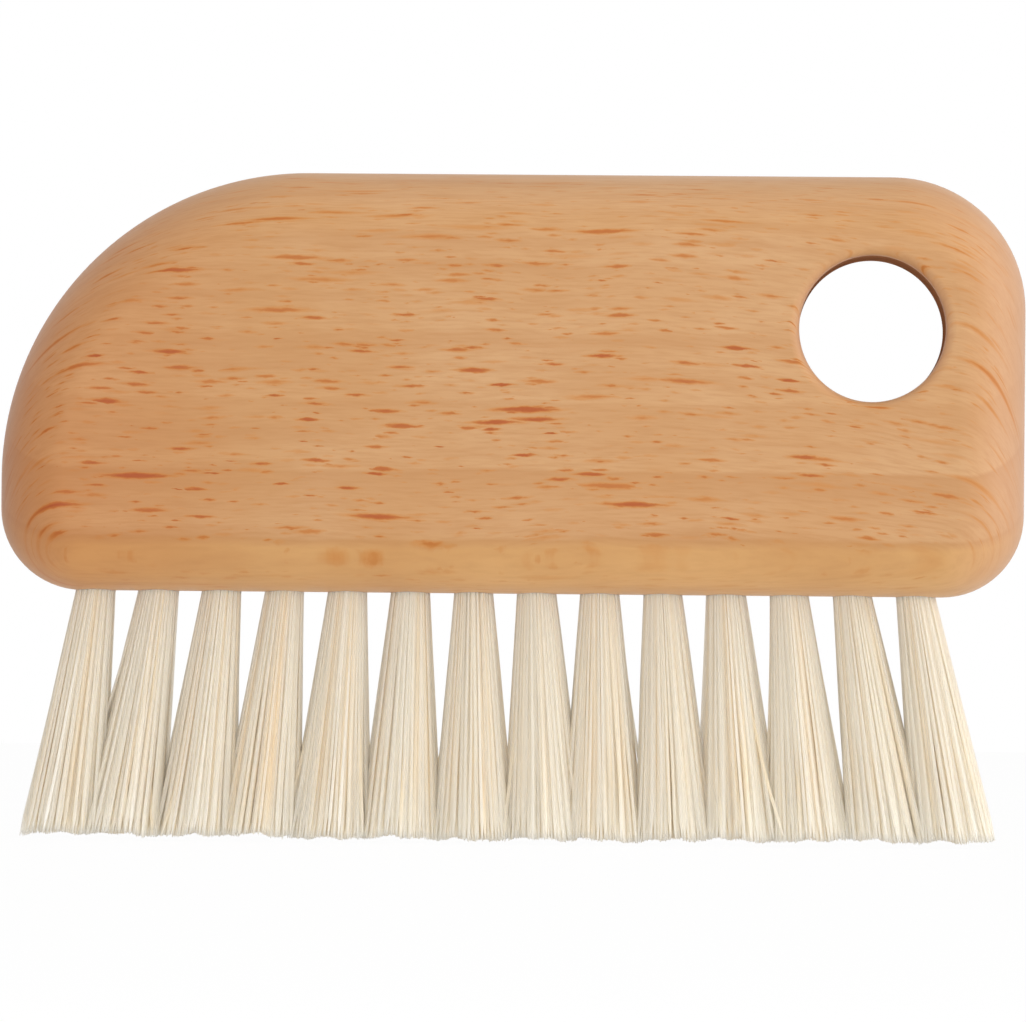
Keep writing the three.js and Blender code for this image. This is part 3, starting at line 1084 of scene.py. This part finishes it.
@dataclass
class Studio:
    """Pale floor, soft light from the right, above and the front, and the camera of the photograph."""

    floor_half: float = 430.0
    floor_colour: str = "#f4f3f1"
    floor_roughness: float = 0.9
    floor_glow: float = 0.97  # share of the floor that the camera sees as plain white
    sky: float = 0.3  # even light from all round
    light_bounces: int = 32  # light leaves a pale tuft only after many bristles
    side_lamp: Lamp = Lamp(1.75, (620.0, -140.0, 170.0), (300.0, 300.0))
    top_lamp: Lamp = Lamp(1.4, (0.0, -150.0, 700.0), (400.0, 400.0))
    low_lamp: Lamp = Lamp(0.86, (30.0, -480.0, 50.0), (300.0, 114.0))
    camera_distance: float = 800.0
    camera_azimuth: float = 1.7  # degrees, towards the hanging hole
    camera_elevation: float = -0.4
    camera_roll: float = 0.5
    aim: Triple = (0.1, 0.0, 32.6)
    pixel: float = 100 / 1022  # millimetres to a pixel at the handle
    clip: Pair = (10.0, 20000.0)  # nearest and farthest that the camera sees

    def bright_to_lens(self, tree: Tree) -> Socket:
        """Tell rays that show a background from rays that carry light.

        Args:
            tree: Node tree to add to.

        Returns:
            Socket that is 1 for camera, glossy and transmission rays.
        """
        path = add_node(tree, "LightPath")
        seen = add_node(tree, "Math", {0: path["Is Camera Ray"], 1: path["Is Glossy Ray"]}, operation="MAXIMUM")[0]
        return add_node(tree, "Math", {0: seen, 1: path["Is Transmission Ray"]}, operation="MAXIMUM")[0]

    def light_world(self) -> None:
        """Surround the scene with an even sky that the camera sees as white."""
        world = bpy.data.worlds.new("studio")
        world.use_nodes = True
        bpy.context.scene.world = world
        tree = world.node_tree
        strength = add_node(tree, "MapRange", {0: self.bright_to_lens(tree), 3: self.sky, 4: 1.0})[0]
        tree.links.new(strength, tree.nodes["Background"].inputs["Strength"])
        tree.nodes["Background"].inputs["Color"].default_value = (1.0, 1.0, 1.0, 1.0)

    def lay_floor(self) -> None:
        """Lay the pale floor, which keeps the brush's shadow."""
        half = self.floor_half * MM
        mesh = bpy.data.meshes.new("floor")
        corners = [(-half, -half, 0), (half, -half, 0), (half, half, 0), (-half, half, 0)]
        mesh.from_pydata(corners, [], [(0, 1, 2, 3)])
        material, tree, shader = start_material("floor_paper")
        shader.inputs["Base Color"].default_value = linear(self.floor_colour)
        shader.inputs["Roughness"].default_value = self.floor_roughness
        white = add_node(tree, "Emission")[0]
        share = add_node(tree, "Math", {0: self.bright_to_lens(tree), 1: self.floor_glow}, operation="MULTIPLY")[0]
        both = add_node(tree, "MixShader", {0: share, 1: shader.outputs[0], 2: white})[0]
        tree.links.new(both, tree.nodes["Material Output"].inputs["Surface"])
        add_piece("floor", mesh, material)

    def set_camera(self) -> None:
        """Set the camera at the photograph's viewing angle."""
        lens = bpy.data.cameras.new("camera")
        lens.sensor_fit = "HORIZONTAL"
        lens.lens = lens.sensor_width * self.camera_distance / (IMAGE_WIDTH * self.pixel)
        lens.clip_start, lens.clip_end = (distance * MM for distance in self.clip)
        azimuth, elevation = math.radians(self.camera_azimuth), math.radians(self.camera_elevation)
        level = math.cos(elevation)
        away = Vector((math.sin(azimuth) * level, -math.cos(azimuth) * level, math.sin(elevation)))
        camera = bpy.data.objects.new("camera", lens)
        turn = (-away).to_track_quat("-Z", "Y").to_matrix().to_4x4()
        place = (Vector(self.aim) + away * self.camera_distance) * MM
        roll = Matrix.Rotation(math.radians(self.camera_roll), 4, "Z")
        camera.matrix_world = Matrix.Translation(place) @ turn @ roll
        bpy.context.scene.collection.objects.link(camera)
        bpy.context.scene.camera = camera

    def build(self) -> None:
        """Set up the floor, the light and the camera."""
        bpy.context.scene.view_settings.view_transform = "Standard"
        self.set_camera()
        self.light_world()
        self.lay_floor()
        self.side_lamp.hang("side", Vector(self.aim))
        self.top_lamp.hang("top", Vector(self.aim))
        self.low_lamp.hang("low", Vector(self.aim))
        cycles = bpy.context.scene.cycles
        cycles.max_bounces = cycles.diffuse_bounces = cycles.transmission_bounces = self.light_bounces


def main() -> None:
    """Build the studio and the brush, piece by piece."""
    logging.basicConfig(level=logging.INFO, format="%(name)s: %(message)s")
    Studio().build()
    seats = TuftRow().seats()
    Handle().build(seats)
    BristleTufts().build(seats)
    Anchors().dress(seats)


if __name__ == "__main__":
    main()
